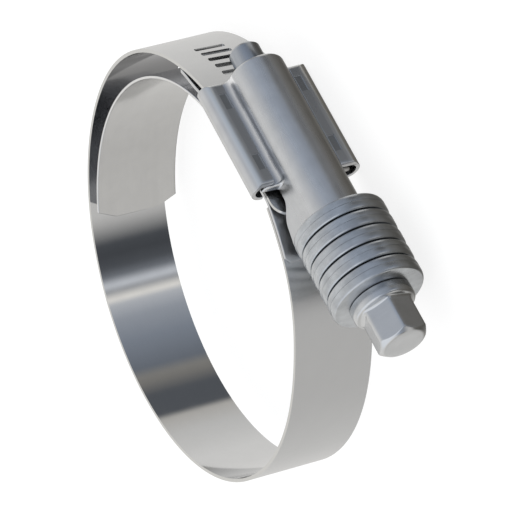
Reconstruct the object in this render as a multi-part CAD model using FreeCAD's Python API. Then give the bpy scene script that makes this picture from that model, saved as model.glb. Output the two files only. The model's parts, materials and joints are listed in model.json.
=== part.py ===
import FreeCAD, Part
import math
import os

os.makedirs("parts", exist_ok=True)

V = FreeCAD.Vector

# Spring loaded worm drive hose clamp, in millimetres.
# The origin is the centre of the hose seat, +Z is the hose axis, +Y points at the housing
# and the screw runs along X with its hexagon at +X.

# Hose seat and the thin liner bent round it.
seat_r = 34.1
liner_t = 0.5
liner_w = 15.2
liner_front_deg = 78.0
liner_rear_deg = 216.75
liner_corner_axial = 3.5
liner_corner_run = 1.5

# Band: one strip with a tail through the housing and a loop that stands off the liner.
band_w = 14.3
band_t = 0.6
loop_x = -2.05
loop_y = -0.3
loop_stand_off = 2.07
rear_bulge = 0.95
rear_bulge_deg = 152.0
rear_bulge_spread = 33.0
front_bulge = 0.66
front_bulge_deg = 407.0
front_bulge_spread = 15.0
loop_start_deg = 114.0
loop_end_deg = 430.0
loop_arcs = 14
tail_tip_x = 13.65
tail_bend_x = -7.45
tail_corner_r = 3.0

# Slots in the tail, slanted like the thread that bites in them.
pitch = 2.4
slot_count = 16
slot_w = 1.2
slot_l = 5.3
slot_shift = 0.4
slot_corner_r = 0.35
slot_from_tip = 3.8

# Saddle: the folded sheet under the tail, with lips over the cover's flanges.
saddle_t = 0.7
saddle_rear_x = -11.95
saddle_front_x = 9.05
fold_height = 4.15
fold_room = 1.8
fold_end_r = 0.9
lip_reach = 1.7
front_bend_x = 7.65
front_tongue_l = 9.4
front_tongue_corner = 0.8
rear_tongue_l = 16.5
rear_tongue_bow = 0.85
rear_tongue_corner = 1.8
relief_w = 0.35
crimp_l = 3.2
crimp_w = 1.3
crimp_depth = 0.22
crimp_rear_x = -8.05
crimp_front_x = 4.45

# Cover: the formed tube that houses the worm and ends in an open neck.
cover_t = 0.85
cover_bore_r = 4.1
flange_fillet_r = 1.2
flange_side_gap = 0.1
flange_bend_r = 0.45
foot_front_x = 6.55
neck_front_x = 19.35
neck_half_w = 6.3
neck_low = 5.3
neck_slant = 1.2
neck_edge_r = 1.6
tail_notch_clear = 0.15
flange_notch_rise = 0.2

# Screw: pilot, worm, waist above the tail, shank in the neck, collar and hexagon.
pilot_r = 2.7
pilot_end_x = -16.55
pilot_chamfer = 0.5
worm_r = 3.8
worm_depth = 1.05
worm_crest_w = 0.55
worm_flank_deg = 20.0
worm_turns = 7.5
worm_slot = 8
worm_rear_x = -11.85
worm_end_x = 7.55
waist_r = 3.0
shank_clear = 0.07
shank_start_x = 15.45
collar_r = 5.35
collar_l = 2.3
collar_edge_r = 0.4
hex_across_flats = 7.94
hex_l = 6.7
hex_turn_deg = 12.0
hex_edge_r = 0.35
hex_chamfer = 0.75
hex_dome = 0.25

# Spring washers: five facing pairs of dished washers.
washer_pairs = 5
washer_r = 8.0
washer_t = 1.3
washer_pitch = 3.07
washer_clear = 0.12

# Gaps between pieces that lie on one another.
seat_gap = 0.03
sheet_gap = 0.05
bite = 0.45
washer_gap = 0.02

# Levels that follow from the sizes above.
loop_r = seat_r + loop_stand_off
half_w = band_w / 2
saddle_low_y = seat_r + liner_t + seat_gap
saddle_top_y = saddle_low_y + saddle_t
tail_low_y = saddle_top_y + sheet_gap
tail_top_y = tail_low_y + band_t
axis_y = tail_top_y - bite + worm_r
fold_r = fold_height / 2
fold_top_y = saddle_low_y + fold_height
flange_top_y = fold_top_y - saddle_t - sheet_gap
flange_half_w = half_w + flange_side_gap + cover_t
fold_half_w = flange_half_w + fold_room
shank_r = cover_bore_r - shank_clear
slot_first_x = tail_tip_x - slot_from_tip
stack_start_x = neck_front_x + sheet_gap
stack_end_x = stack_start_x + washer_pairs * washer_pitch
collar_x = stack_end_x + washer_gap
hex_x = collar_x + collar_l


def polar(centre, radius, degrees):
    """Point of the side view at a bearing and a distance from a centre."""
    a = math.radians(degrees)
    return V(centre.x + radius * math.cos(a), centre.y + radius * math.sin(a), 0)


def solid_of(face, vector):
    """Solid made by pushing a flat face along a vector."""
    return face.extrude(vector).removeSplitter()


def heading(degrees):
    """Unit direction in the side view."""
    return polar(V(0, 0, 0), 1, degrees)


def arc(start, direction, end):
    """Edge that leaves a point in a direction and reaches another on one radius."""
    chord = end - start
    side = V(-chord.y, chord.x, 0)
    rise = math.atan2(direction.dot(side), direction.dot(chord)) / 2
    middle = (start + end) / 2 + side * (math.tan(rise) / 2)
    return Part.Arc(start, middle, end).toShape()


def arc_pair(start, direction, end, arrival):
    """Two arcs that join smoothly and leave and arrive in the given directions."""
    chord = end - start
    total = direction + arrival
    spread = 2 * (1 - direction.dot(arrival))
    along = chord.dot(total)
    reach = (math.sqrt(along ** 2 + spread * chord.dot(chord)) - along) / spread
    joint = (start + end + (direction - arrival) * reach) / 2
    first = arc(start, direction, joint)
    return [first, arc(joint, first.tangentAt(first.LastParameter), end)]


def place_on(path, distance):
    """Point and direction of travel at a distance along a run of arcs."""
    for edge in path:
        if distance <= edge.Length or edge is path[-1]:
            u = edge.getParameterByLength(min(distance, edge.Length))
            return edge.valueAt(u), edge.tangentAt(u)
        distance = distance - edge.Length


def outward(direction):
    """Side that faces away from the hose for a path that runs round it anticlockwise."""
    return V(direction.y, -direction.x, 0)


def beside(path, distance):
    """The same arcs moved outward, for the second face of a bent sheet."""
    moved = []
    for edge in path:
        points = []
        for share in (0.0, 0.5, 1.0):
            u = edge.FirstParameter + (edge.LastParameter - edge.FirstParameter) * share
            points.append(edge.valueAt(u) + outward(edge.tangentAt(u)) * distance)
        moved.append(Part.Arc(points[0], points[1], points[2]).toShape())
    return moved


def section_of(edges):
    """Flat face inside edges that meet end to end in any order."""
    return Part.Face(Part.Wire(Part.__sortEdges__(edges)))


def line(start, end):
    return Part.LineSegment(start, end).toShape()


def loop_place(degrees):
    """Point and direction of the band's inner face at a bearing, with its two soft bulges."""
    rear = (degrees - rear_bulge_deg) / rear_bulge_spread
    front = (degrees - front_bulge_deg) / front_bulge_spread
    rear_rise = rear_bulge * math.exp(-rear ** 2)
    front_rise = front_bulge * math.exp(-front ** 2)
    radius = loop_r + rear_rise + front_rise
    slope = -2 * (rear_rise * rear / rear_bulge_spread + front_rise * front / front_bulge_spread)
    lean = math.degrees(math.atan(math.degrees(slope) / radius))
    return polar(V(loop_x, loop_y, 0), radius, degrees), heading(degrees + 90 - lean)


def bent_sheet(start, degrees, moves, thickness):
    """Section of a bent sheet: each move is a run, or a bend radius and its turn."""
    half = thickness / 2
    left = []
    right = []
    at = start
    angle = math.radians(degrees)
    for size, turn in moves:
        ahead = V(math.cos(angle), math.sin(angle), 0)
        side = V(-ahead.y, ahead.x, 0)
        a = at + side * half
        b = at - side * half
        if turn == 0:
            at = at + ahead * size
            left.append(Part.LineSegment(a, a + ahead * size).toShape())
            right.append(Part.LineSegment(b, b + ahead * size).toShape())
            continue
        sign = 1 if turn > 0 else -1
        centre = at + side * (size * sign)
        swept = []
        for share in (0.0, 0.5, 1.0):
            bend = FreeCAD.Rotation(V(0, 0, 1), turn * share)
            swept.append([centre + bend.multVec(p - centre) for p in (a, b, at)])
        left.append(Part.Arc(swept[0][0], swept[1][0], swept[2][0]).toShape())
        right.append(Part.Arc(swept[0][1], swept[1][1], swept[2][1]).toShape())
        at = swept[2][2]
        angle = angle + math.radians(turn)
    ends = [Part.LineSegment(left[0].Vertexes[0].Point, right[0].Vertexes[0].Point).toShape()]
    ends.append(Part.LineSegment(left[-1].Vertexes[-1].Point, right[-1].Vertexes[-1].Point).toShape())
    return section_of(left + right + ends)


def across_hose(section, x0, x1):
    """Solid from a section drawn as (z, y), pushed along the screw from x0 to x1."""
    turned = section.copy()
    turned.Placement = FreeCAD.Placement(V(x0, 0, 0), FreeCAD.Rotation(V(0, 1, 0), -90))
    return solid_of(turned, V(x1 - x0, 0, 0))


def turned_on_axis(profile):
    """Solid turned about the screw axis from an (x, radius) outline."""
    points = [V(x, axis_y + r, 0) for x, r in profile]
    face = Part.Face(Part.makePolygon(points + [points[0]]))
    return face.revolve(V(0, axis_y, 0), V(1, 0, 0), 360)


def corner_cut(corner, along, run, depth, reach):
    """Prism that takes a corner off a strip: along leads inward from the strip's end."""
    out = V(along.y, -along.x, 0)
    inward = V(0, 0, -depth if corner.z > 0 else depth)
    a = corner + along * run
    b = corner + inward
    over = (a - b) * 0.3
    beyond = corner - along * run - inward
    base = out * -reach
    outline = Part.makePolygon([a + over + base, b - over + base, beyond + base, a + over + base])
    return Part.Face(outline).extrude(out * (2 * reach))


def band_path():
    """Inner face of the band from the bend behind the tail round to its fixed end."""
    at = V(tail_bend_x, tail_low_y, 0)
    direction = heading(180)
    path = []
    for i in range(loop_arcs + 1):
        bearing = loop_start_deg + (loop_end_deg - loop_start_deg) * i / loop_arcs
        point, arrival = loop_place(bearing)
        path += arc_pair(at, direction, point, arrival)
        at, direction = point, arrival
    return path


inner = band_path()
inner_l = sum(edge.Length for edge in inner)


def slot_cutter(at, out, along):
    """Slanted slot with rounded corners, cut square through the band."""
    across = V(0, 0, 1)
    slant = math.degrees(math.atan(pitch / (2 * math.pi * worm_r)))
    block = Part.makeBox(slot_w, slot_l, 4 * band_t, V(-slot_w / 2, -slot_l / 2 - slot_shift, -2 * band_t))
    block = block.makeFillet(slot_corner_r, [e for e in block.Edges if abs(e.tangentAt(e.FirstParameter).z) > 0.9])
    lean = FreeCAD.Placement(V(0, 0, 0), FreeCAD.Rotation(V(0, 0, 1), -slant))
    turn = FreeCAD.Rotation(along, across, out, "ZXY")
    block.Placement = FreeCAD.Placement(at, turn).multiply(lean)
    return block


def band():
    outer = beside(inner, band_t)
    low_tip = V(tail_tip_x, tail_low_y, 0)
    high_tip = V(tail_tip_x, tail_top_y, 0)
    end = inner[-1].Vertexes[-1].Point
    edges = inner + outer + [line(low_tip, high_tip), line(end, outer[-1].Vertexes[-1].Point)]
    edges.append(line(low_tip, V(tail_bend_x, tail_low_y, 0)))
    edges.append(line(high_tip, V(tail_bend_x, tail_top_y, 0)))
    face = section_of(edges)
    face.translate(V(0, 0, -half_w))
    strip = face.extrude(V(0, 0, band_w))
    tip = [e for e in strip.Edges if abs(e.CenterOfMass.x - tail_tip_x) < 0.01 and e.Length < 2 * band_t]
    strip = strip.makeFillet(tail_corner_r, tip)
    cutters = []
    for k in range(slot_count):
        x = slot_first_x - k * pitch
        at = V(x, tail_low_y, 0)
        direction = heading(180)
        if x < tail_bend_x:
            at, direction = place_on(inner, tail_bend_x - x)
        cutters.append(slot_cutter(at, outward(direction), direction))
    return strip.cut(Part.makeCompound(cutters))


def liner():
    """Thin strip bent to the hose, with its four corners taken off."""
    middle = seat_r + liner_t / 2
    front = polar(V(0, 0, 0), middle, liner_front_deg)
    rear = polar(V(0, 0, 0), middle, liner_rear_deg)
    face = bent_sheet(front, liner_front_deg + 90, [(middle, liner_rear_deg - liner_front_deg)], liner_t)
    face.translate(V(0, 0, -liner_w / 2))
    strip = face.extrude(V(0, 0, liner_w))
    front_along = V(-front.y, front.x, 0).normalize()
    rear_along = V(rear.y, -rear.x, 0).normalize()
    cutters = []
    for z in (-liner_w / 2, liner_w / 2):
        edge = V(0, 0, z)
        cutters.append(corner_cut(front + edge, front_along, liner_corner_run, liner_corner_axial, 4 * liner_t))
        cutters.append(corner_cut(rear + edge, rear_along, liner_corner_run, liner_corner_axial, 4 * liner_t))
    return strip.cut(Part.makeCompound(cutters))


def saddle_spine():
    """Base under the tail with the tongues that bend down at its two ends."""
    lift = band_t + sheet_gap
    at, direction = place_on(inner, inner_l - front_tongue_l)
    tip = at + outward(direction) * lift
    at, arrival = place_on(inner, inner_l)
    shoulder = at + outward(arrival) * lift
    front = [arc(tip, direction, shoulder)]
    left = front[0].tangentAt(front[0].LastParameter)
    front += arc_pair(shoulder, left, V(front_bend_x, saddle_low_y, 0), heading(180))
    front_top = beside(front, saddle_t)
    at, direction = place_on(inner, rear_tongue_l / 2)
    bow = at - outward(direction) * (sheet_gap + rear_tongue_bow)
    rear_top = arc_pair(V(tail_bend_x, saddle_top_y, 0), heading(180), bow, direction)
    at, arrival = place_on(inner, rear_tongue_l)
    rear_top += arc_pair(bow, direction, at - outward(arrival) * sheet_gap, arrival)
    rear = beside(rear_top, -saddle_t)
    rear_end = rear[-1].Vertexes[-1].Point
    edges = front + front_top + rear + rear_top
    edges.append(line(V(front_bend_x, saddle_low_y, 0), V(tail_bend_x, saddle_low_y, 0)))
    edges.append(line(V(front_bend_x, saddle_top_y, 0), V(tail_bend_x, saddle_top_y, 0)))
    edges.append(line(tip, front_top[0].Vertexes[0].Point))
    edges.append(line(rear_end, rear_top[-1].Vertexes[-1].Point))
    face = section_of(edges)
    face.translate(V(0, 0, -half_w))
    strip = face.extrude(V(0, 0, band_w))
    inward = front[0].tangentAt(front[0].FirstParameter)
    cutters = []
    for z in (-half_w, half_w):
        edge = V(0, 0, z)
        cutters.append(corner_cut(tip + edge, inward, front_tongue_corner, front_tongue_corner, 3 * saddle_t))
        cutters.append(corner_cut(rear_end + edge, arrival * -1, rear_tongue_corner, rear_tongue_corner, 3 * saddle_t))
    return strip.cut(Part.makeCompound(cutters))


def saddle_fold():
    """Side wall of the saddle, folded over into a lip, with its crimped marks."""
    middle = saddle_low_y + saddle_t / 2
    turn_z = fold_half_w - fold_r
    start_z = half_w - saddle_t
    moves = [(turn_z - start_z, 0), (fold_r - saddle_t / 2, 180), (lip_reach, 0)]
    section = bent_sheet(V(start_z, middle, 0), 0, moves, saddle_t)
    fold = across_hose(section, saddle_rear_x, saddle_front_x)
    length = saddle_front_x - saddle_rear_x
    limit = Part.makeBox(length, fold_height, fold_half_w, V(saddle_rear_x, saddle_low_y, 0))
    upper = [e for e in limit.Edges if e.CenterOfMass.y > fold_top_y - 0.01 and abs(e.Length - fold_half_w) < 0.01]
    upper = [e for e in upper if abs(e.tangentAt(e.FirstParameter).z) > 0.9]
    fold = fold.common(limit.makeFillet(fold_end_r, upper))
    slit_z = half_w + relief_w
    rear_slit = Part.makeBox(length, 2 * saddle_t, slit_z, V(tail_bend_x - length, saddle_low_y - saddle_t / 2, 0))
    front_slit = Part.makeBox(length, 2 * saddle_t, slit_z, V(front_bend_x, saddle_low_y - saddle_t / 2, 0))
    fold = fold.cut(rear_slit).cut(front_slit)
    for x in (crimp_rear_x, crimp_front_x):
        at = V(x - crimp_l / 2, fold_top_y - crimp_depth, turn_z - lip_reach / 2 - crimp_w / 2)
        fold = fold.cut(Part.makeBox(crimp_l, saddle_t, crimp_w, at))
    return fold


def saddle():
    fold = saddle_fold()
    other = fold.mirror(V(0, 0, 0), V(0, 0, 1))
    return saddle_spine().fuse([fold, other]).removeSplitter()


def housing_section(footed):
    """Tube over the worm with fillets out to two flanges, with or without feet, as (z, y)."""
    middle = cover_bore_r + cover_t / 2
    bend = flange_bend_r + cover_t / 2
    foot_z = flange_half_w - cover_t / 2
    fillet = min(flange_fillet_r + cover_t / 2, foot_z - bend - middle)
    flange_y = flange_top_y - cover_t / 2
    fillet_y = flange_y + fillet
    drop = math.asin((axis_y - fillet_y) / (middle + fillet))
    fillet_z = (middle + fillet) * math.cos(drop)
    turn = 90 + math.degrees(drop)
    arch = [(fillet, turn), (middle, -2 * turn), (fillet, turn)]
    if not footed:
        run = flange_half_w - fillet_z
        return bent_sheet(V(-flange_half_w, flange_y, 0), 0, [(run, 0)] + arch + [(run, 0)], cover_t)
    foot = flange_y - bend - saddle_top_y - sheet_gap
    run = foot_z - bend - fillet_z
    start = V(-foot_z, saddle_top_y + sheet_gap, 0)
    rise = [(foot, 0), (bend, -90), (run, 0)]
    fall = [(run, 0), (bend, -90), (foot, 0)]
    return bent_sheet(start, 90, rise + arch + fall, cover_t)


def neck_section():
    """Round top of the neck with two straight walls that splay outward, as (z, y)."""
    middle = cover_bore_r + cover_t / 2
    foot_z = neck_half_w - cover_t / 2
    reach = math.hypot(foot_z, neck_low)
    wall = math.sqrt(reach ** 2 - middle ** 2)
    rise = math.acos(middle / reach) - math.atan2(neck_low, foot_z)
    lean = 90 - math.degrees(rise)
    moves = [(wall, 0), (middle, -2 * lean), (wall, 0)]
    return bent_sheet(V(-foot_z, axis_y - neck_low, 0), lean, moves, cover_t)


def neck_notch():
    """Cutter whose edge sweeps down from the flange, past the tail's tip, to the neck's end."""
    high = flange_top_y - cover_t + flange_notch_rise
    low = axis_y - neck_low + neck_slant
    past = tail_tip_x + tail_notch_clear
    shoulder = V(past - (high - tail_top_y), high, 0)
    toe = V(past + (tail_top_y - low), low, 0)
    end = V(neck_front_x, axis_y - neck_low, 0)
    reach = 2 * fold_half_w
    outline = [V(saddle_front_x - reach, high, 0), shoulder, toe, end, end - V(0, reach, 0)]
    outline.append(V(saddle_front_x - reach, end.y - reach, 0))
    face = Part.Face(Part.makePolygon(outline + [outline[0]]))
    face.translate(V(0, 0, -reach / 2))
    block = face.extrude(V(0, 0, reach))
    bends = [e for e in block.Edges if min(abs(e.CenterOfMass.x - p.x) for p in (shoulder, toe)) < 0.01]
    return block.makeFillet(neck_edge_r, [e for e in bends if abs(e.Length - reach) < 0.01])


def cover():
    """Housing tube on its flanges and the open neck, cut back where the tail comes out."""
    tube = across_hose(housing_section(True), saddle_rear_x, foot_front_x)
    front = across_hose(housing_section(False), foot_front_x, saddle_front_x)
    neck = across_hose(neck_section(), saddle_front_x, neck_front_x)
    return tube.fuse([front, neck.cut(neck_notch())]).removeSplitter()


def worm_thread():
    """Ridge of the worm as a swept trapezoid, in step with the slots of the tail."""
    root = worm_r - worm_depth
    sunk = 0.2 * worm_depth
    crest = worm_crest_w / 2
    foot = crest + (worm_depth + sunk) * math.tan(math.radians(worm_flank_deg))
    helix = Part.makeHelix(pitch, worm_turns * pitch, root)
    corners = [V(root - sunk, 0, -foot), V(worm_r, 0, -crest), V(worm_r, 0, crest), V(root - sunk, 0, foot)]
    profile = Part.makePolygon(corners + [corners[0]])
    ridge = Part.Wire(helix.Edges).makePipeShell([profile], True, True)
    ridge.rotate(V(0, 0, 0), V(0, 1, 0), 90)
    start_x = slot_first_x - (worm_slot + 0.75) * pitch
    ridge.translate(V(start_x, axis_y, 0))
    return ridge


def hexagon():
    """Hexagonal head with rounded edges, a chamfered end and a slight dome."""
    corner = hex_across_flats / math.sqrt(3)
    points = []
    for i in range(7):
        a = math.radians(hex_turn_deg + 60 * i)
        points.append(V(hex_x, axis_y + corner * math.cos(a), corner * math.sin(a)))
    prism = Part.Face(Part.makePolygon(points)).extrude(V(hex_l, 0, 0))
    prism = prism.makeFillet(hex_edge_r, [e for e in prism.Edges if abs(e.Length - hex_l) < 0.01])
    end = hex_x + hex_l
    outline = [(hex_x, 0), (hex_x, corner), (end - hex_chamfer, corner), (end - hex_dome, corner - 1.3 * hex_chamfer)]
    outline.append((end, 0))
    return prism.common(turned_on_axis(outline))


def screw():
    root = worm_r - worm_depth
    pilot = pilot_r - pilot_chamfer
    outline = [(pilot_end_x, 0), (pilot_end_x, pilot), (pilot_end_x + pilot_chamfer, pilot_r)]
    outline += [(worm_rear_x, pilot_r), (worm_rear_x, root), (worm_end_x, root), (worm_end_x, waist_r)]
    outline += [(shank_start_x, waist_r), (shank_start_x, shank_r), (collar_x, shank_r), (collar_x, collar_r)]
    outline += [(hex_x - collar_edge_r, collar_r), (hex_x, collar_r - collar_edge_r), (hex_x, 0)]
    return turned_on_axis(outline).fuse([worm_thread(), hexagon()]).removeSplitter()


def washer(start, faces_back):
    """Dished spring washer: its bore stands toward the housing, or away from it."""
    bore = shank_r + washer_clear
    dish = (washer_pitch - 2 * washer_t - 2 * washer_gap) / 2
    outline = [(start, bore), (start + dish, washer_r), (start + dish + washer_t, washer_r), (start + washer_t, bore)]
    if faces_back:
        width = dish + washer_t
        outline = [(2 * start + width - x, r) for x, r in outline]
    return turned_on_axis(outline)


def washers():
    """The stack on the shank between the neck and the collar, as name and solid."""
    width = (washer_pitch - 2 * washer_gap) / 2
    made = []
    for pair in range(washer_pairs):
        start = stack_start_x + pair * washer_pitch + washer_gap / 2
        made.append(washer(start, False))
        made.append(washer(start + width + washer_gap, True))
    return [("washer_" + str(i + 1), solid) for i, solid in enumerate(made)]


nodes = [("band", band()), ("liner", liner()), ("saddle", saddle()), ("cover", cover()), ("screw", screw())]
for name, solid in nodes + washers():
    solid.exportStep("parts/" + name + ".step")
    print(name, "valid" if solid.isValid() else "INVALID", len(solid.Solids), "solid", round(solid.Volume, 1), "mm3")
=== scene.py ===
import bpy
import bmesh
import json
import math
from mathutils import Matrix, Vector


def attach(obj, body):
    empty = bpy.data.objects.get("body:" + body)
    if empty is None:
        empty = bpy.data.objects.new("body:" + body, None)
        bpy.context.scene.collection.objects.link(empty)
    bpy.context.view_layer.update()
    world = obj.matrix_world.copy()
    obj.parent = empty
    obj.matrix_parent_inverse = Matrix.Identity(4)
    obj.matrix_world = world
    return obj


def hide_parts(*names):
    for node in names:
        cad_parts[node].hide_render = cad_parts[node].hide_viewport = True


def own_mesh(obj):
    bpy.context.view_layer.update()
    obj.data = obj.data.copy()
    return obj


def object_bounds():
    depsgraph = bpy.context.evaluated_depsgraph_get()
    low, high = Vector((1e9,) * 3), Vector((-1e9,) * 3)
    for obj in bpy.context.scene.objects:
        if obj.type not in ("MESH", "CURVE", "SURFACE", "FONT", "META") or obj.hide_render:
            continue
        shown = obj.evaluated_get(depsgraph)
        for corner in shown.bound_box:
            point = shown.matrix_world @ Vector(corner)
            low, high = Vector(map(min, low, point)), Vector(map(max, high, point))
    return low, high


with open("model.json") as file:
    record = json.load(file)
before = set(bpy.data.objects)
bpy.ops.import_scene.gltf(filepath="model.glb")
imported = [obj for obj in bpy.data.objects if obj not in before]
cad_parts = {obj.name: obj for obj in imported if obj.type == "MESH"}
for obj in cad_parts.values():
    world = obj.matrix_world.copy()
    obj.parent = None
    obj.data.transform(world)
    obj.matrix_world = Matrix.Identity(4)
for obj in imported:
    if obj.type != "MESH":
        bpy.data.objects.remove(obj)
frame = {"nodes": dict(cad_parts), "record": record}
cad_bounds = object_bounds()


# Band: one long strip of bright stainless steel with slots for the worm.
# It is cold rolled, so it mirrors the room, with fine drawn lines along its length,
# and its sheared edges are paler than its faces.
def new_group(name, wanted, given):
    """Shader group with named float or vector sockets."""
    group = bpy.data.node_groups.new(name, "ShaderNodeTree")
    for label, kind in wanted:
        group.interface.new_socket(label, in_out="INPUT", socket_type=kind)
    for label, kind in given:
        group.interface.new_socket(label, in_out="OUTPUT", socket_type=kind)
    return group


def drawn_lines_group():
    """Fine lines left by rolling or drawing, as a mask from 0 to 1."""
    group = new_group("drawn_lines",
                      [("Position", "NodeSocketVector"), ("Fineness", "NodeSocketFloat")],
                      [("Lines", "NodeSocketFloat"), ("Clouds", "NodeSocketFloat")])
    nodes = group.nodes
    links = group.links
    enter = nodes.new("NodeGroupInput")
    leave = nodes.new("NodeGroupOutput")
    fine = nodes.new("ShaderNodeTexNoise")
    fine.inputs["Detail"].default_value = 4.0
    fine.inputs["Roughness"].default_value = 0.65
    links.new(enter.outputs["Position"], fine.inputs["Vector"])
    links.new(enter.outputs["Fineness"], fine.inputs["Scale"])
    links.new(fine.outputs["Fac"], leave.inputs["Lines"])
    broad = nodes.new("ShaderNodeMath")
    broad.operation = "MULTIPLY"
    broad.inputs[1].default_value = 0.12
    links.new(enter.outputs["Fineness"], broad.inputs[0])
    clouds = nodes.new("ShaderNodeTexNoise")
    clouds.inputs["Detail"].default_value = 2.0
    links.new(enter.outputs["Position"], clouds.inputs["Vector"])
    links.new(broad.outputs["Value"], clouds.inputs["Scale"])
    links.new(clouds.outputs["Fac"], leave.inputs["Clouds"])
    return group


def sheared_edge_group():
    """Mask of the faces that look along the hose, which are the strip's cut edges."""
    group = new_group("sheared_edge", [("Normal", "NodeSocketVector")], [("Edge", "NodeSocketFloat")])
    nodes = group.nodes
    links = group.links
    enter = nodes.new("NodeGroupInput")
    leave = nodes.new("NodeGroupOutput")
    parts = nodes.new("ShaderNodeSeparateXYZ")
    links.new(enter.outputs["Normal"], parts.inputs["Vector"])
    size = nodes.new("ShaderNodeMath")
    size.operation = "ABSOLUTE"
    links.new(parts.outputs["Z"], size.inputs[0])
    step = nodes.new("ShaderNodeMapRange")
    step.inputs["From Min"].default_value = 0.6
    step.inputs["From Max"].default_value = 0.9
    links.new(size.outputs["Value"], step.inputs["Value"])
    links.new(step.outputs["Result"], leave.inputs["Edge"])
    return group


def within_box_group():
    """Mask of the surface inside a box, given by its middle and half its size."""
    group = new_group("within_box",
                      [("Position", "NodeSocketVector"), ("Middle", "NodeSocketVector"),
                       ("Half", "NodeSocketVector"), ("Fade", "NodeSocketFloat")],
                      [("Inside", "NodeSocketFloat")])
    nodes = group.nodes
    links = group.links
    enter = nodes.new("NodeGroupInput")
    leave = nodes.new("NodeGroupOutput")
    off = nodes.new("ShaderNodeVectorMath")
    off.operation = "SUBTRACT"
    links.new(enter.outputs["Position"], off.inputs[0])
    links.new(enter.outputs["Middle"], off.inputs[1])
    size = nodes.new("ShaderNodeVectorMath")
    size.operation = "ABSOLUTE"
    links.new(off.outputs["Vector"], size.inputs[0])
    past = nodes.new("ShaderNodeVectorMath")
    past.operation = "SUBTRACT"
    links.new(size.outputs["Vector"], past.inputs[0])
    links.new(enter.outputs["Half"], past.inputs[1])
    parts = nodes.new("ShaderNodeSeparateXYZ")
    links.new(past.outputs["Vector"], parts.inputs["Vector"])
    most = nodes.new("ShaderNodeMath")
    most.operation = "MAXIMUM"
    links.new(parts.outputs["X"], most.inputs[0])
    links.new(parts.outputs["Y"], most.inputs[1])
    worst = nodes.new("ShaderNodeMath")
    worst.operation = "MAXIMUM"
    links.new(most.outputs["Value"], worst.inputs[0])
    links.new(parts.outputs["Z"], worst.inputs[1])
    step = nodes.new("ShaderNodeMapRange")
    step.inputs["From Max"].default_value = 0.0
    step.inputs["To Min"].default_value = 1.0
    step.inputs["To Max"].default_value = 0.0
    step.interpolation_type = "SMOOTHSTEP"
    deep = nodes.new("ShaderNodeMath")
    deep.operation = "MULTIPLY"
    deep.inputs[1].default_value = -1.0
    links.new(enter.outputs["Fade"], deep.inputs[0])
    links.new(deep.outputs["Value"], step.inputs["From Min"])
    links.new(worst.outputs["Value"], step.inputs["Value"])
    links.new(step.outputs["Result"], leave.inputs["Inside"])
    return group


def strip_sides_group():
    """Masks of a strip's outer side, and of its inner side in the sector that slides on the liner."""
    sector_middle = math.radians(166)
    sector_half = math.radians(34)
    sector_full = math.radians(14)
    group = new_group("strip_sides", [("Position", "NodeSocketVector"), ("Normal", "NodeSocketVector")],
                      [("Outer", "NodeSocketFloat"), ("Inner sector", "NodeSocketFloat")])
    nodes = group.nodes
    links = group.links
    enter = nodes.new("NodeGroupInput")
    leave = nodes.new("NodeGroupOutput")
    flat = nodes.new("ShaderNodeVectorMath")
    flat.operation = "MULTIPLY"
    flat.inputs[1].default_value = (1.0, 1.0, 0.0)
    links.new(enter.outputs["Position"], flat.inputs[0])
    radial = nodes.new("ShaderNodeVectorMath")
    radial.operation = "NORMALIZE"
    links.new(flat.outputs["Vector"], radial.inputs[0])
    facing = nodes.new("ShaderNodeVectorMath")
    facing.operation = "DOT_PRODUCT"
    links.new(radial.outputs["Vector"], facing.inputs[0])
    links.new(enter.outputs["Normal"], facing.inputs[1])
    outer = nodes.new("ShaderNodeMapRange")
    outer.inputs["From Min"].default_value = 0.5
    outer.inputs["From Max"].default_value = 0.9
    links.new(facing.outputs["Value"], outer.inputs["Value"])
    links.new(outer.outputs["Result"], leave.inputs["Outer"])
    inner = nodes.new("ShaderNodeMapRange")
    inner.inputs["From Min"].default_value = -0.5
    inner.inputs["From Max"].default_value = -0.9
    links.new(facing.outputs["Value"], inner.inputs["Value"])
    middle = nodes.new("ShaderNodeVectorMath")
    middle.operation = "DOT_PRODUCT"
    middle.inputs[1].default_value = (math.cos(sector_middle), math.sin(sector_middle), 0.0)
    links.new(radial.outputs["Vector"], middle.inputs[0])
    sector = nodes.new("ShaderNodeMapRange")
    sector.interpolation_type = "SMOOTHSTEP"
    sector.inputs["From Min"].default_value = math.cos(sector_half)
    sector.inputs["From Max"].default_value = math.cos(sector_full)
    links.new(middle.outputs["Value"], sector.inputs["Value"])
    both = nodes.new("ShaderNodeMath")
    both.operation = "MULTIPLY"
    links.new(inner.outputs["Result"], both.inputs[0])
    links.new(sector.outputs["Result"], both.inputs[1])
    links.new(both.outputs["Value"], leave.inputs["Inner sector"])
    return group


drawn_lines = drawn_lines_group()
sheared_edge = sheared_edge_group()
within_box = within_box_group()
strip_sides = strip_sides_group()


def paint_over(material, paint, mask, colour):
    """The paint so far, with another colour where the mask is 1."""
    mix = material.node_tree.nodes.new("ShaderNodeMix")
    mix.data_type = "RGBA"
    mix.inputs["B"].default_value = colour + (1.0,)
    material.node_tree.links.new(mask, mix.inputs["Factor"])
    material.node_tree.links.new(paint, mix.inputs["A"])
    return mix.outputs["Result"]


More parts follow.
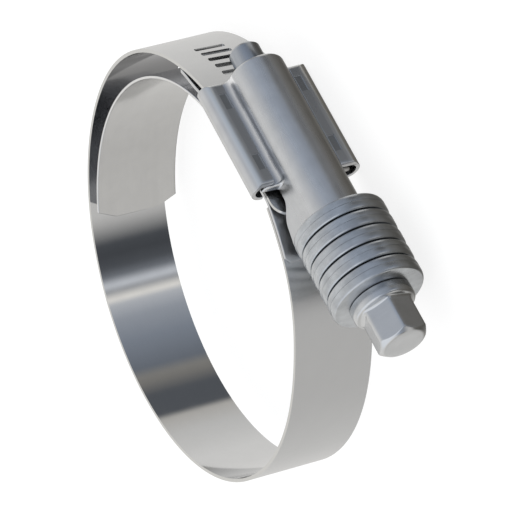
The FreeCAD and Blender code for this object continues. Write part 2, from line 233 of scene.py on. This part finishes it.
def steel(name, colour, roughness, stretch, lines_per_m, line_depth, clouds,
          edge_colour=None, patches=(), side_tint_and_shade=None, outer_roughness=None):
    """Bare steel with fine lines, which stretch draws out along one axis, and soft clouds.
    patches are boxes of another colour as (middle, half size, fade, colour) in millimetres.
    slid names one mask of the strip's sides with its colour, and outer_roughness dulls the outer side."""
    material = bpy.data.materials.new(name)
    material.use_nodes = True
    nodes = material.node_tree.nodes
    links = material.node_tree.links
    shader = nodes["Principled BSDF"]
    shader.inputs["Metallic"].default_value = 1.0
    place = nodes.new("ShaderNodeTexCoord")
    scale = nodes.new("ShaderNodeMapping")
    scale.inputs["Scale"].default_value = stretch
    links.new(place.outputs["Object"], scale.inputs["Vector"])
    lines = nodes.new("ShaderNodeGroup")
    lines.node_tree = drawn_lines
    lines.inputs["Fineness"].default_value = lines_per_m
    links.new(scale.outputs["Vector"], lines.inputs["Position"])
    blotch = nodes.new("ShaderNodeTexNoise")
    blotch.inputs["Scale"].default_value = 420.0
    blotch.inputs["Detail"].default_value = 5.0
    links.new(place.outputs["Object"], blotch.inputs["Vector"])
    rough = nodes.new("ShaderNodeMapRange")
    rough.inputs["From Min"].default_value = 0.3
    rough.inputs["From Max"].default_value = 0.7
    rough.inputs["To Min"].default_value = roughness * 0.85
    rough.inputs["To Max"].default_value = roughness * 1.15
    links.new(lines.outputs["Clouds"], rough.inputs["Value"])
    dullness = rough.outputs["Result"]
    sides = nodes.new("ShaderNodeGroup")
    sides.node_tree = strip_sides
    links.new(place.outputs["Object"], sides.inputs["Position"])
    links.new(place.outputs["Normal"], sides.inputs["Normal"])
    if outer_roughness:
        duller = nodes.new("ShaderNodeMix")
        duller.inputs["B"].default_value = outer_roughness
        links.new(sides.outputs["Outer"], duller.inputs["Factor"])
        links.new(dullness, duller.inputs["A"])
        dullness = duller.outputs["Result"]
    links.new(dullness, shader.inputs["Roughness"])
    mottle = nodes.new("ShaderNodeMath")
    mottle.operation = "MULTIPLY_ADD"
    mottle.inputs[1].default_value = 0.6
    links.new(blotch.outputs["Fac"], mottle.inputs[0])
    fine = nodes.new("ShaderNodeMath")
    fine.operation = "MULTIPLY"
    fine.inputs[1].default_value = 0.4
    links.new(lines.outputs["Lines"], fine.inputs[0])
    links.new(fine.outputs["Value"], mottle.inputs[2])
    ramp = nodes.new("ShaderNodeValToRGB")
    ramp.color_ramp.elements[0].position = 0.35
    ramp.color_ramp.elements[1].position = 0.65
    ramp.color_ramp.elements[0].color = [c * (1 - clouds) for c in colour] + [1.0]
    ramp.color_ramp.elements[1].color = [min(1.0, c * (1 + clouds)) for c in colour] + [1.0]
    links.new(mottle.outputs["Value"], ramp.inputs["Fac"])
    paint = ramp.outputs["Color"]
    if edge_colour:
        edge = nodes.new("ShaderNodeGroup")
        edge.node_tree = sheared_edge
        links.new(place.outputs["Normal"], edge.inputs["Normal"])
        paint = paint_over(material, paint, edge.outputs["Edge"], edge_colour)
    for middle, half, fade, patch_colour in patches:
        patch = nodes.new("ShaderNodeGroup")
        patch.node_tree = within_box
        patch.inputs["Middle"].default_value = [v / 1000 for v in middle]
        patch.inputs["Half"].default_value = [v / 1000 for v in half]
        patch.inputs["Fade"].default_value = fade / 1000
        links.new(place.outputs["Object"], patch.inputs["Position"])
        paint = paint_over(material, paint, patch.outputs["Inside"], patch_colour)
    if side_tint_and_shade:
        paint = paint_over(material, paint, sides.outputs[side_tint_and_shade[0]], side_tint_and_shade[1])
    links.new(paint, shader.inputs["Base Color"])
    bump = nodes.new("ShaderNodeBump")
    bump.inputs["Strength"].default_value = 0.15
    bump.inputs["Distance"].default_value = line_depth
    links.new(lines.outputs["Lines"], bump.inputs["Height"])
    links.new(bump.outputs["Normal"], shader.inputs["Normal"])
    return material


def finer(node, edge_round, material, share=None):
    """Welded copy of a carried-over piece, smooth over its curves and rounded along its edges.
    share gives the part of the rounding that an edge gets, from its middle and its piece."""
    source = frame["nodes"][node]
    work = bmesh.new()
    work.from_mesh(source.data)
    bmesh.ops.remove_doubles(work, verts=work.verts, dist=0.000001)
    bmesh.ops.dissolve_limit(work, angle_limit=math.radians(0.2), verts=work.verts, edges=work.edges)
    for face in work.faces:
        face.smooth = True
        face.material_index = 0
    weight = work.edges.layers.float.new("bevel_weight_edge")
    for edge in work.edges:
        bend = edge.calc_face_angle(0.0)
        edge.smooth = bend < math.radians(25)
        if bend > math.radians(40):
            middle = (edge.verts[0].co + edge.verts[1].co) / 2
            edge[weight] = share(middle * 1000) if share else 1.0
    mesh = bpy.data.meshes.new(node + "_finer")
    work.to_mesh(mesh)
    work.free()
    for name in ("custom_normal", "sharp_face"):
        if name in mesh.attributes:
            mesh.attributes.remove(mesh.attributes[name])
    mesh.materials.append(material)
    piece = bpy.data.objects.new(node + "_finer", mesh)
    bpy.context.scene.collection.objects.link(piece)
    bevel = piece.modifiers.new("edges", "BEVEL")
    bevel.width = edge_round
    bevel.segments = 2
    bevel.limit_method = "WEIGHT"
    bevel.harden_normals = True
    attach(piece, body_names[node])
    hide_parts(node)


body_names = {node: body for body, nodes in frame["record"]["behaviour"]["bodies"].items() for node in nodes}
tail_end_x = 13.65
# The band's inner side over the liner is painted dark, as painted shade in the gap between band and liner, and
# the tail's end is painted near white, as a painted highlight.
band_steel = steel("band_steel", (0.60, 0.605, 0.61), 0.08, stretch=(1.0, 1.0, 40.0), lines_per_m=90.0,
                   line_depth=0.0000003, clouds=0.012, edge_colour=(0.60, 0.60, 0.59),
                   patches=[((tail_end_x, 36.0, 0.0), (0.12, 3.0, 8.0), 0.15, (0.95, 0.95, 0.95))],
                   side_tint_and_shade=("Inner sector", (0.20, 0.20, 0.205)), outer_roughness=0.26)
finer("band", 0.00010, band_steel)

# Liner: a thinner strip inside the band, bent to the hose, with a duller rolled finish.
liner_steel = steel("liner_steel", (0.60, 0.60, 0.595), 0.18, stretch=(1.0, 1.0, 40.0), lines_per_m=90.0,
                    line_depth=0.0000003, clouds=0.02, edge_colour=(0.72, 0.72, 0.72),
                    side_tint_and_shade=("Outer", (0.62, 0.63, 0.66)))
finer("liner", 0.00016, liner_steel)

# Saddle: folded sheet under the tail, pressed to shape and then tumbled, so it is satin.
# Each folded lip has two crimp marks. Its top is painted darker as a painted reflection, its crimp marks are
# painted darker as painted shade, and round its fold it is painted paler as a painted highlight.
def saddle_edge(middle):
    """Edges of the sheet are deburred, but those of the crimp marks stay crisp."""
    on_lip_top = 38.3 < middle.y and 6.2 < abs(middle.z) < 7.75
    beside_marks = -10.0 < middle.x < 6.3
    return 0.0 if on_lip_top and beside_marks else 1.0


# Painted reflection on the lip tops, painted shade in the crimp marks and a painted highlight round the folds.
painted_lip_top_reflection = (0.50, 0.51, 0.52)
painted_crimp_shade = (0.36, 0.37, 0.38)
painted_fold_highlight = (0.78, 0.78, 0.76)
lip_painted_light = [((-1.45, 38.8, z), (11.0, 0.3, 0.9), 0.3, painted_lip_top_reflection) for z in (-6.9, 6.9)]
lip_painted_light += [((x, 38.6, z), (1.6, 0.3, 0.65), 0.15, painted_crimp_shade) for x in (-8.05, 4.45) for z in (-6.97, 6.97)]
lip_painted_light += [((-1.45, 38.3, z), (10.5, 2.0, 0.7), 0.5, painted_fold_highlight) for z in (-8.7, 8.7)]
saddle_steel = steel("saddle_steel", (0.60, 0.605, 0.61), 0.28, stretch=(1.0, 6.0, 6.0), lines_per_m=400.0,
                     line_depth=0.000001, clouds=0.05, patches=lip_painted_light)
finer("saddle", 0.00018, saddle_steel, saddle_edge)

# Cover: pressed sheet, one tube over the worm with a flange along each side, in millimetres.
# Its rear rim is rolled over, and in front it opens into a neck with two splayed walls.
# The flanges lie under the saddle's lips, and their turned down feet stand on its base.
screw_height = 39.33
cover_sheet = 0.85
tube_middle_r = 4.525
flange_middle_y = 37.605
flange_fillet_r = 2.2
foot_z = 7.675
foot_low_y = 35.38
foot_bend_r = 0.875
neck_foot_z = 5.875
neck_low_y = 34.03
neck_lean = 76.94
rear_rim_x = -11.95
rim_roll_r = 0.7
foot_end_x = 6.55
neck_blend_x = 8.9
neck_blend_run = 0.8
neck_wall = 6.49
notch_line = [(9.0, 37.38), (12.4, 37.38), (14.55, 35.23), (19.35, 34.03)]


def bent_line(start, heading, moves):
    """Middle line of a bent sheet as (z, y, heading), from (length, 0, steps) and (radius, turn, steps)."""
    z, y = start
    way = math.radians(heading)
    line = [(z, y, way)]
    for size, turn, steps in moves:
        bend = math.radians(turn) / steps
        stride = size / steps if turn == 0 else 2 * size * math.sin(abs(bend) / 2)
        for _ in range(steps):
            z += math.cos(way + bend / 2) * stride
            y += math.sin(way + bend / 2) * stride
            way += bend
            line.append((z, y, way))
    return line


def housing_line(footed):
    """Feet, flanges, fillets and tube, seen along the screw."""
    rise = flange_middle_y + flange_fillet_r - screw_height
    span = tube_middle_r + flange_fillet_r
    turn = 90 - math.degrees(math.asin(rise / span))
    run = foot_z - foot_bend_r - math.sqrt(span ** 2 - rise ** 2)
    foot = flange_middle_y - foot_bend_r - foot_low_y if footed else 0.001
    start = (-foot_z, flange_middle_y - foot_bend_r - foot)
    side = [(foot, 0, 2), (foot_bend_r, -90, 5), (run, 0, 1), (flange_fillet_r, turn, 10)]
    other = [(flange_fillet_r, turn, 10), (run, 0, 1), (foot_bend_r, -90, 5), (foot, 0, 2)]
    return bent_line(start, 90, side + [(tube_middle_r, -2 * turn, 56)] + other)


def notch_height(x):
    """Lower edge of the neck's walls, a soft S from the flange down to the neck's end."""
    total = 0.0
    for k in range(-8, 9):
        at = min(max(x + k * 0.11, notch_line[0][0]), notch_line[-1][0])
        for (x0, y0), (x1, y1) in zip(notch_line, notch_line[1:]):
            if x0 <= at <= x1:
                total += y0 + (y1 - y0) * (at - x0) / (x1 - x0)
                break
    return total / 17


def neck_line(x):
    """Round top of the neck with its two straight walls, down to the notch."""
    lean = math.radians(neck_lean)
    cut = (notch_height(x) - neck_low_y) / math.sin(lean)
    start = (-neck_foot_z + cut * math.cos(lean), neck_low_y + cut * math.sin(lean))
    side = (neck_wall - cut, 0, 18)
    return bent_line(start, neck_lean, [side, (tube_middle_r, -2 * neck_lean, 56), side])


def cover_section(x, inset):
    """Outer and inner points of the sheet at one place along the screw."""
    housing = housing_line(x <= foot_end_x)
    neck = neck_line(x)
    share = min(max((x - neck_blend_x) / neck_blend_run, 0.0), 1.0)
    share = share * share * (3 - 2 * share)
    outer = []
    inner = []
    for (z0, y0, way0), (z1, y1, way1) in zip(housing, neck):
        z = z0 + (z1 - z0) * share
        y = y0 + (y1 - y0) * share
        way = way0 + (way1 - way0) * share
        out = cover_sheet / 2 - inset
        outer.append((x, y + math.cos(way) * out, z - math.sin(way) * out))
        inner.append((x, y - math.cos(way) * cover_sheet / 2, z + math.sin(way) * cover_sheet / 2))
    return outer, inner


def add_piece(name, points, faces, material, edge_round):
    """Closed piece from points in millimetres, smooth over its curves and rounded along its edges."""
    work = bmesh.new()
    corners = [work.verts.new(Vector(point) / 1000) for point in points]
    for face in faces:
        work.faces.new([corners[k] for k in face])
    bmesh.ops.remove_doubles(work, verts=work.verts, dist=0.0000005)
    bmesh.ops.recalc_face_normals(work, faces=work.faces)
    for face in work.faces:
        face.smooth = True
    for edge in work.edges:
        edge.smooth = edge.calc_face_angle(0.0) < math.radians(32)
    mesh = bpy.data.meshes.new(name)
    work.to_mesh(mesh)
    work.free()
    mesh.materials.append(material)
    piece = bpy.data.objects.new(name, mesh)
    bpy.context.scene.collection.objects.link(piece)
    if edge_round:
        bevel = piece.modifiers.new("edges", "BEVEL")
        bevel.width = edge_round
        bevel.segments = 2
        bevel.limit_method = "ANGLE"
        bevel.angle_limit = math.radians(50)
        bevel.harden_normals = True
    return piece


stations = []
for step in range(7):
    around = math.radians(15 * step)
    stations.append((rear_rim_x + rim_roll_r * (1 - math.cos(around)), rim_roll_r * (1 - math.sin(around))))
stations += [(-9.0, 0), (-4.0, 0), (1.0, 0), (5.0, 0), (foot_end_x, 0), (6.56, 0), (8.0, 0)]
stations += [(neck_blend_x + 0.1 * step, 0) for step in range(9)]
stations += [(9.7 + 0.38 * step, 0) for step in range(1, 6)]
stations += [(11.6 + 0.2 * step, 0) for step in range(1, 20)]
stations += [(15.4 + 0.79 * step, 0) for step in range(1, 6)]
points = []
faces = []
for x, inset in stations:
    outer, inner = cover_section(x, inset)
    points += outer + inner
across = len(outer)
ring = 2 * across
for row in range(len(stations) - 1):
    a = row * ring
    b = a + ring
    for k in range(across - 1):
        faces.append((a + k, a + k + 1, b + k + 1, b + k))
        faces.append((a + across + k, b + across + k, b + across + k + 1, a + across + k + 1))
    for k in (0, across - 1):
        faces.append((a + k, b + k, b + across + k, a + across + k))
for a in (0, (len(stations) - 1) * ring):
    for k in range(across - 1):
        faces.append((a + k, a + k + 1, a + across + k + 1, a + across + k))

# Along each flange the valley between tube and flange is painted pale, as painted light, and a stripe beside
# each lip's edge is painted darker, as painted shade.
valley_painted_light_and_shade = [((-2.0, 39.4, z), (11.0, 1.3, 0.7), 0.6, (0.95, 0.95, 0.96)) for z in (-4.7, 4.7)]
valley_painted_light_and_shade += [((-2.0, 38.2, z), (11.0, 0.8, 0.55), 0.4, (0.46, 0.46, 0.47)) for z in (-5.9, 5.9)]
cover_steel = steel("cover_steel", (0.60, 0.605, 0.61), 0.28, stretch=(1.0, 6.0, 6.0), lines_per_m=400.0,
                    line_depth=0.000001, clouds=0.05, patches=valley_painted_light_and_shade)
cover = add_piece("cover_pressing", points, faces, cover_steel, 0.00005)
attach(cover, "housing")
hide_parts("cover")

# Screw: turned from bar in one piece, with pilot, worm, waist, shank and collar.
# Its forged hexagon grows out of the collar in a fillet and has a wide chamfer at its end.
hexagon_flat = 3.97
hexagon_turn = 12.0
corner_power = 34
collar_end_x = 37.07
collar_end_r = 4.92
collar_fillet = 0.7
chamfer_start_x = 42.55
screw_end_x = 43.77
screw_profile = [
    (-16.55, 0), (-16.55, 2.0), (-16.50, 2.2), (-16.05, 2.62), (-15.9, 2.7), (-11.85, 2.7), (-11.84, 2.75),
    (7.55, 2.75), (7.56, 3.0), (15.45, 3.0), (15.46, 4.03), (34.77, 4.03), (34.78, 5.1), (34.86, 5.28),
    (35.05, 5.35), (36.55, 5.35), (36.75, 5.30), (36.90, 5.20), (37.01, 5.07), (collar_end_x, collar_end_r)]


def hexagon_reach(degrees):
    """Distance from the axis to the hexagon's face, with its corners rounded."""
    total = 0.0
    for side in range(6):
        lean = math.cos(math.radians(degrees - hexagon_turn - 30 - 60 * side))
        total += max(lean, 0.0) ** corner_power
    return hexagon_flat / total ** (1 / corner_power)


def softer_min(a, b, blend):
    """The lesser of two lengths, with a rounded change from one to the other."""
    share = min(max(0.5 + 0.5 * (b - a) / blend, 0.0), 1.0)
    return b + (a - b) * share - blend * share * (1 - share)


segments = 144
points = []
for x, r in screw_profile:
    points += [(x, screw_height + r * math.cos(math.radians(360 * k / segments)),
                r * math.sin(math.radians(360 * k / segments))) for k in range(segments)]
rows = len(screw_profile)
uncapped = 9.0
hexagon_rows = []
for step in range(1, 7):
    around = math.radians(15 * step)
    hexagon_rows.append((collar_end_x + collar_fillet * (1 - math.cos(around)), uncapped, 1 - math.sin(around)))
hexagon_rows += [(40.0, uncapped, 0), (42.3, uncapped, 0)]
hexagon_rows += [(chamfer_start_x + 0.07 * step, 4.95 - 0.088 * step, 0) for step in range(16)]
hexagon_rows += [(43.67, 3.45, 0), (43.72, 3.1, 0), (43.75, 2.2, 0)]
hexagon_rows += [(screw_end_x, 1.0, 0), (screw_end_x, 0.0, 0)]
for x, cap, flare in hexagon_rows:
    for k in range(segments):
        degrees = 360 * k / segments
        way = math.radians(degrees)
        r = hexagon_reach(degrees)
        r = softer_min(cap, r, 0.16) if cap > 0.2 else 0.0
        r += (collar_end_r - r) * flare
        points.append((x, screw_height + r * math.cos(way), r * math.sin(way)))
    rows += 1
faces = []
for row in range(rows - 1):
    for k in range(segments):
        after = (k + 1) % segments
        low = row * segments
        high = low + segments
        faces.append((low + k, low + after, high + after, high + k))

thread_pitch = 2.4
thread_turns = 7.5
thread_section = ((2.54, -0.734), (3.8, -0.275), (3.8, 0.275), (2.54, 0.734))
first_slot_from_tip = 3.8
pitches_before_slot = 8.75
thread_start = tail_end_x - first_slot_from_tip - pitches_before_slot * thread_pitch
base = len(points)
thread_steps = 180
for step in range(thread_steps + 1):
    way = thread_turns * 2 * math.pi * step / thread_steps
    middle = thread_start + thread_turns * thread_pitch * step / thread_steps
    for r, off in thread_section:
        points.append((middle + off, screw_height + r * math.sin(way), -r * math.cos(way)))
for step in range(thread_steps):
    a = base + 4 * step
    for k in range(4):
        faces.append((a + k, a + (k + 1) % 4, a + 4 + (k + 1) % 4, a + 4 + k))
faces.append((base, base + 1, base + 2, base + 3))
faces.append(tuple(base + 4 * thread_steps + k for k in (3, 2, 1, 0)))

# The pilot is painted darker and bluer than the rest of the screw.
pilot_mark = ((-15.0, screw_height, 0.0), (3.2, 4.0, 4.0), 0.15, (0.40, 0.42, 0.45))
screw_steel = steel("screw_steel", (0.58, 0.59, 0.60), 0.22, stretch=(40.0, 1.0, 1.0), lines_per_m=120.0,
                    line_depth=0.0000005, clouds=0.04, patches=[pilot_mark])
screw = add_piece("screw_turning", points, faces, screw_steel, 0)
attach(screw, "screw")
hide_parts("screw")

# Spring washers: ten dished rings of hardened strip in five facing pairs, tumbled, so their rims are round.
# In the clamp they flatten as the screw moves; here nine stand on the housing, each with a mesh of its own, and
# the last one moves with the screw.
washer_steel = steel("washer_steel", (0.50, 0.52, 0.54), 0.28, stretch=(3.0, 1.0, 1.0), lines_per_m=500.0,
                     line_depth=0.000001, clouds=0.15)
stack_start_x = 19.41
pair_pitch = 3.07
second_offset = 1.535
washer_depth = 1.515
washer_bore_r = 4.15


def washer_outline(start, faces_back):
    """Section of one dished ring as (x, radius), with its outward rim corner rounded most."""
    outline = [(0.05, washer_bore_r), (0.0, 4.2)]
    for step in range(7):
        around = math.radians(15 * step)
        outline.append((0.12 + 0.80 * (1 - math.cos(around)), 7.60 + 0.40 * math.sin(around)))
    outline += [(1.45, 8.0), (1.50, 7.985), (washer_depth, 7.95), (1.30, 4.2), (1.25, washer_bore_r)]
    if faces_back:
        outline = [(washer_depth - x, r) for x, r in outline]
    return [(start + x, r) for x, r in outline]


for number in range(1, 11):
    pair = (number - 1) // 2
    second = number % 2 == 0
    outline = washer_outline(stack_start_x + pair_pitch * pair + (second_offset if second else 0.0), second)
    points = []
    faces = []
    for k in range(segments):
        way = math.radians(360 * k / segments)
        points += [(x, screw_height + r * math.cos(way), r * math.sin(way)) for x, r in outline]
        after = (k + 1) % segments
        for m in range(len(outline)):
            n = (m + 1) % len(outline)
            low = k * len(outline)
            high = after * len(outline)
            faces.append((low + m, low + n, high + n, high + m))
    name = "washer_%d" % number
    washer = add_piece("spring_" + name, points, faces, washer_steel, 0)
    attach(washer, "thrust_washer" if number == 10 else "housing")
    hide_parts(name)
    if number < 10:
        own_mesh(washer)

# Floor: white table top that keeps a faint shadow. The metal mirrors the studio, not the table.
floor_z = cad_bounds[0][2]
floor_side = 3.0
floor_mesh = bpy.data.meshes.new("table")
corners = [(side * floor_side, end * floor_side) for side, end in ((-1, -1), (1, -1), (1, 1), (-1, 1))]
floor_mesh.from_pydata([(x, y, floor_z) for x, y in corners], [], [(0, 1, 2, 3)])
table = bpy.data.objects.new("table", floor_mesh)
bpy.context.scene.collection.objects.link(table)
table_white = bpy.data.materials.new("table_white")
table_white.use_nodes = True
table_nodes = table_white.node_tree.nodes
table_links = table_white.node_tree.links
table_shader = table_nodes["Principled BSDF"]
table_shader.inputs["Base Color"].default_value = (0.30, 0.30, 0.30, 1.0)
table_shader.inputs["Roughness"].default_value = 1.0
table_shader.inputs["Specular IOR Level"].default_value = 0.0
table_shader.inputs["Emission Color"].default_value = (1.0, 1.0, 1.0, 1.0)
table_seen = table_nodes.new("ShaderNodeLightPath")
table_lift = table_nodes.new("ShaderNodeMath")
table_lift.operation = "MULTIPLY"
table_lift.inputs[1].default_value = 0.80
table_links.new(table_seen.outputs["Is Camera Ray"], table_lift.inputs[0])
table_links.new(table_lift.outputs["Value"], table_shader.inputs["Emission Strength"])
floor_mesh.materials.append(table_white)
table.visible_glossy = False


# Studio: a white room lights the metal evenly. What the metal mirrors is pale and dark walls,
# in a ring round the hose for the strips' upright faces and a ring round the screw for all others,
# with a paler box beyond the hexagon.
def wall(brightness, warmth):
    """Colour of one piece of wall. Warmth runs from -1 for a bluish grey to 1 for a yellowish one."""
    return [brightness * (1 + 0.07 * warmth), brightness, brightness * (1 - 0.12 * warmth), 1.0]


def wall_ramp(nodes, stops):
    """Colour ramp of a wall, from (position, colour) pairs."""
    ramp = nodes.new("ShaderNodeValToRGB")
    marks = ramp.color_ramp.elements
    while len(marks) < len(stops):
        marks.new(0.5)
    for mark, (position, colour) in zip(marks, stops):
        mark.position = position
        mark.color = colour
    return ramp


def all_round(stops):
    """Ramp marks from (degrees, brightness, warmth), with half a turn at either end."""
    return [((degrees + 180) / 360, wall(brightness, warmth)) for degrees, brightness, warmth in stops]


world = bpy.data.worlds.new("studio")
bpy.context.scene.world = world
world.use_nodes = True
nodes = world.node_tree.nodes
links = world.node_tree.links
plain = nodes["Background"]
plain.inputs["Color"].default_value = (1.0, 1.0, 1.0, 1.0)
plain.inputs["Strength"].default_value = 1.0
where = nodes.new("ShaderNodeTexCoord")
parts = nodes.new("ShaderNodeSeparateXYZ")
links.new(where.outputs["Generated"], parts.inputs["Vector"])
turn = nodes.new("ShaderNodeMath")
turn.operation = "ARCTAN2"
links.new(parts.outputs["Y"], turn.inputs[0])
links.new(parts.outputs["X"], turn.inputs[1])
azimuth = nodes.new("ShaderNodeMapRange")
azimuth.inputs["From Min"].default_value = -math.pi
azimuth.inputs["From Max"].default_value = math.pi
links.new(turn.outputs["Value"], azimuth.inputs["Value"])
walls = wall_ramp(nodes, all_round([
    (-180, 0.90, 0.2), (-100, 0.82, 0.2), (-30, 0.70, 0.2), (0, 0.75, 0.2), (20, 0.75, 0.2), (25, 0.60, 0.2),
    (36, 0.10, -1), (42, 0.085, -1), (49, 0.115, -1), (54, 0.24, -1), (58.5, 0.88, -0.5), (61.5, 0.42, -0.5),
    (66, 1.10, 0.5), (69, 0.67, -0.5), (77, 0.46, -1), (90, 0.33, -1.5), (107, 0.22, -1.5), (112, 0.30, 0.5),
    (116, 0.26, 0.5), (124, 0.13, -1), (138.5, 0.13, -1), (141.5, 0.60, 0.5), (154, 0.75, 0.2),
    (180, 0.90, 0.2)]))
links.new(azimuth.outputs["Result"], walls.inputs["Fac"])
lean = nodes.new("ShaderNodeMath")
lean.operation = "ARCTAN2"
links.new(parts.outputs["Z"], lean.inputs[0])
links.new(parts.outputs["Y"], lean.inputs[1])
around = nodes.new("ShaderNodeMapRange")
around.inputs["From Min"].default_value = -math.pi
around.inputs["From Max"].default_value = math.pi
links.new(lean.outputs["Value"], around.inputs["Value"])
overhead = wall_ramp(nodes, all_round([
    (-180, 0.90, 0.2), (-150, 0.50, 0.5), (-112, 0.15, 0.5), (-96, 0.12, 1), (-64, 0.19, 0.5), (-48, 0.24, 0),
    (-32, 0.37, -1), (0, 0.40, -1.5), (32, 0.52, -1.5), (48, 0.56, -1), (64, 0.65, -0.5), (96, 0.88, 0),
    (128, 0.82, 0), (152, 0.93, 0.2), (180, 0.90, 0.2)]))
links.new(around.outputs["Result"], overhead.inputs["Fac"])
above = nodes.new("ShaderNodeMapRange")
above.interpolation_type = "SMOOTHSTEP"
above.inputs["From Min"].default_value = -0.36
above.inputs["From Max"].default_value = -0.15
links.new(parts.outputs["Z"], above.inputs["Value"])
under = nodes.new("ShaderNodeMapRange")
under.interpolation_type = "SMOOTHSTEP"
under.inputs["From Min"].default_value = -0.50
under.inputs["From Max"].default_value = -0.66
links.new(parts.outputs["Z"], under.inputs["Value"])
away = nodes.new("ShaderNodeMath")
away.operation = "ADD"
links.new(above.outputs["Result"], away.inputs[0])
links.new(under.outputs["Result"], away.inputs[1])
whole = nodes.new("ShaderNodeMix")
whole.data_type = "RGBA"
links.new(away.outputs["Value"], whole.inputs["Factor"])
links.new(walls.outputs["Color"], whole.inputs["A"])
links.new(overhead.outputs["Color"], whole.inputs["B"])
end_box = nodes.new("ShaderNodeMapRange")
end_box.interpolation_type = "SMOOTHSTEP"
end_box.inputs["From Min"].default_value = 0.30
end_box.inputs["From Max"].default_value = 0.62
links.new(parts.outputs["X"], end_box.inputs["Value"])
end_height = nodes.new("ShaderNodeMapRange")
end_height.interpolation_type = "SMOOTHSTEP"
end_height.inputs["From Min"].default_value = 0.1
end_height.inputs["From Max"].default_value = 0.5
links.new(parts.outputs["Z"], end_height.inputs["Value"])
end_share = nodes.new("ShaderNodeMath")
end_share.operation = "MULTIPLY"
links.new(end_box.outputs["Result"], end_share.inputs[0])
links.new(end_height.outputs["Result"], end_share.inputs[1])
lit = nodes.new("ShaderNodeMix")
lit.data_type = "RGBA"
lit.inputs["B"].default_value = wall(1.10, -0.5)
links.new(end_share.outputs["Value"], lit.inputs["Factor"])
links.new(whole.outputs["Result"], lit.inputs["A"])
mirrored = nodes.new("ShaderNodeBackground")
links.new(lit.outputs["Result"], mirrored.inputs["Color"])
seen = nodes.new("ShaderNodeLightPath")
choose = nodes.new("ShaderNodeMixShader")
links.new(seen.outputs["Is Glossy Ray"], choose.inputs["Fac"])
links.new(plain.outputs["Background"], choose.inputs[1])
links.new(mirrored.outputs["Background"], choose.inputs[2])
links.new(choose.outputs["Shader"], nodes["World Output"].inputs["Surface"])

# Camera: the photograph's angle, with its roll about the view.
lens = bpy.data.cameras.new("camera")
lens.lens = 330.47
lens.sensor_width = 36.0
lens.clip_start = 0.01
lens.clip_end = 20.0
camera = bpy.data.objects.new("camera", lens)
bpy.context.scene.collection.objects.link(camera)
right = Vector((0.4228, 0.2310, -0.8763))
up = Vector((-0.7862, 0.5745, -0.2278))
back = Vector((0.4508, 0.7852, 0.4245))
aim = Matrix((right, up, back)).transposed().to_4x4()
camera.matrix_world = Matrix.Translation((0.35554, 0.62101, 0.33042)) @ aim
bpy.context.scene.camera = camera
bpy.context.scene.view_settings.view_transform = "Standard"
